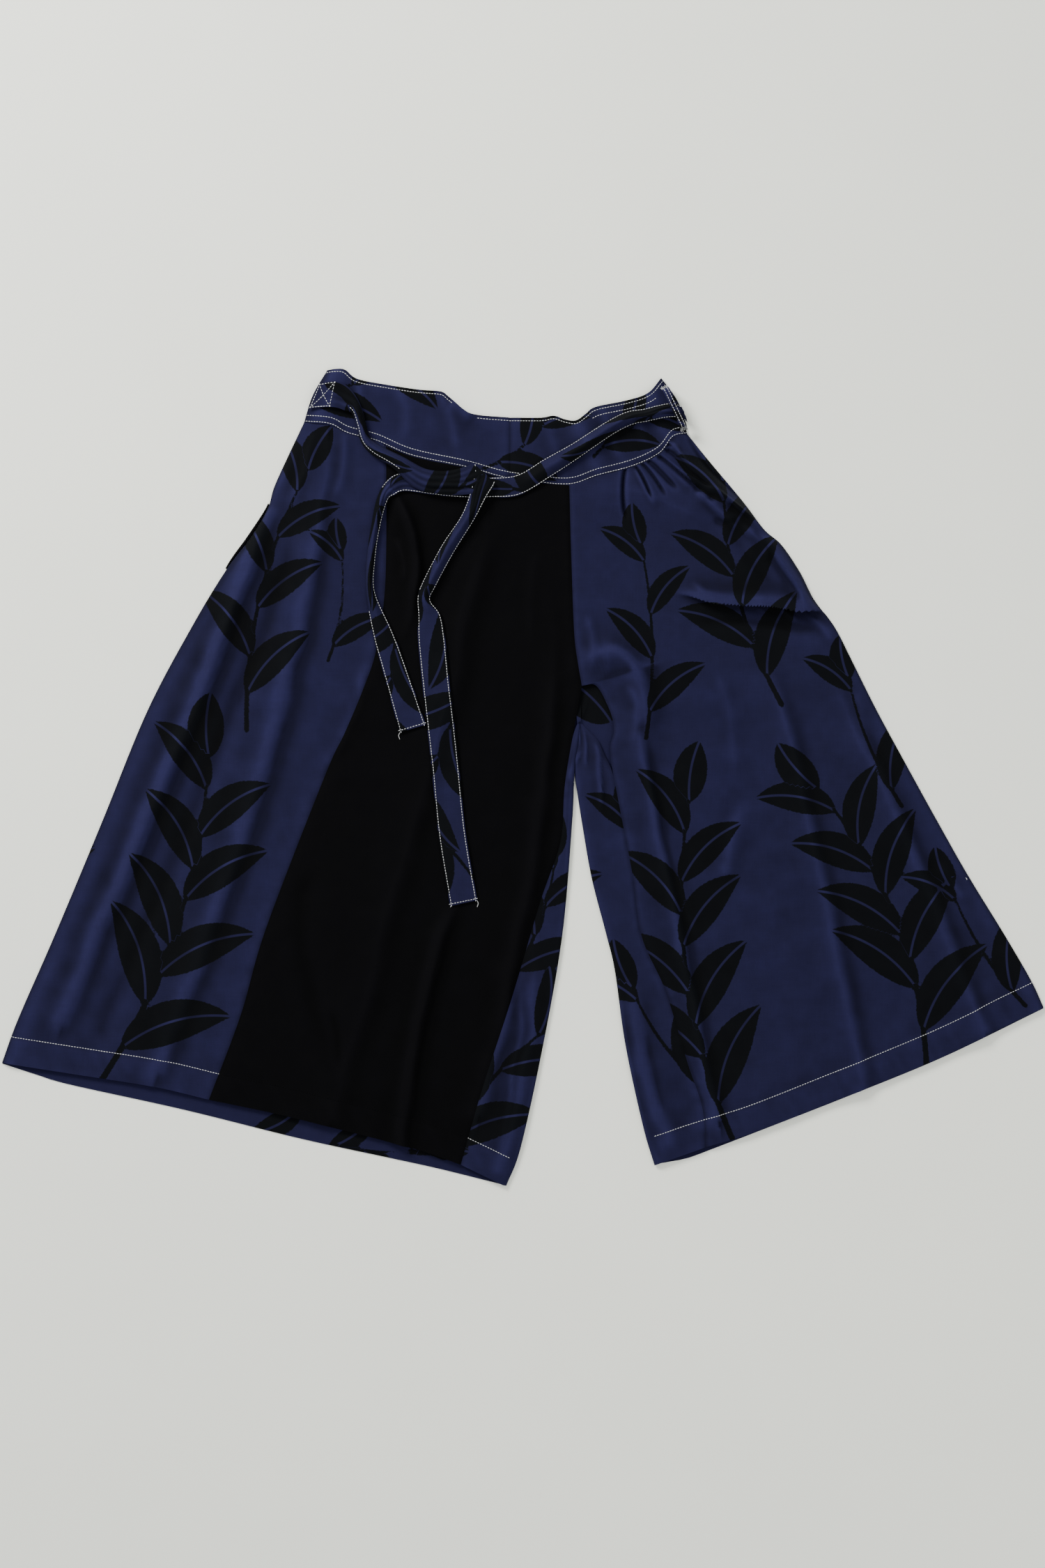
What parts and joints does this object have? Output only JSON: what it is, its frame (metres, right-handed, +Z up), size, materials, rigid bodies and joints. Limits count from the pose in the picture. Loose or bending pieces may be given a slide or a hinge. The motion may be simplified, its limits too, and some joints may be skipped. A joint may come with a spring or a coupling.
{
  "type": "culottes",
  "caption": "Wide-leg culottes with a stitched waistband, tie belt and contrast front panel, laid out flat with the inner legs rolled to the front.",
  "frame": {"origin": "middle of the outline's box, on the surface that the culottes lie on", "axes": "+X to the viewer's right across both hems, +Y towards the waistband, +Z up off the surface"},
  "size_m": [1.076, 0.8429, 0.0236],
  "materials": {
    "printed_cotton": "matt woven cotton, navy with a black print",
    "black_cotton": "matt woven cotton, plain black",
    "pocket_cotton": "matt woven cotton, near black"
  },
  "bodies": {
    "root": {"front_left_side": "printed_cotton", "front_left_centre": "black_cotton", "front_right": "printed_cotton", "back_left": "printed_cotton", "back_right": "printed_cotton", "waistband_front_left": "printed_cotton", "waistband_front_right": "printed_cotton", "waistband_back": "printed_cotton", "tie_left": "printed_cotton", "tie_right": "printed_cotton", "belt_loop_right": "printed_cotton", "pocket_facing_left": "pocket_cotton"}
  },
  "joints": []
}
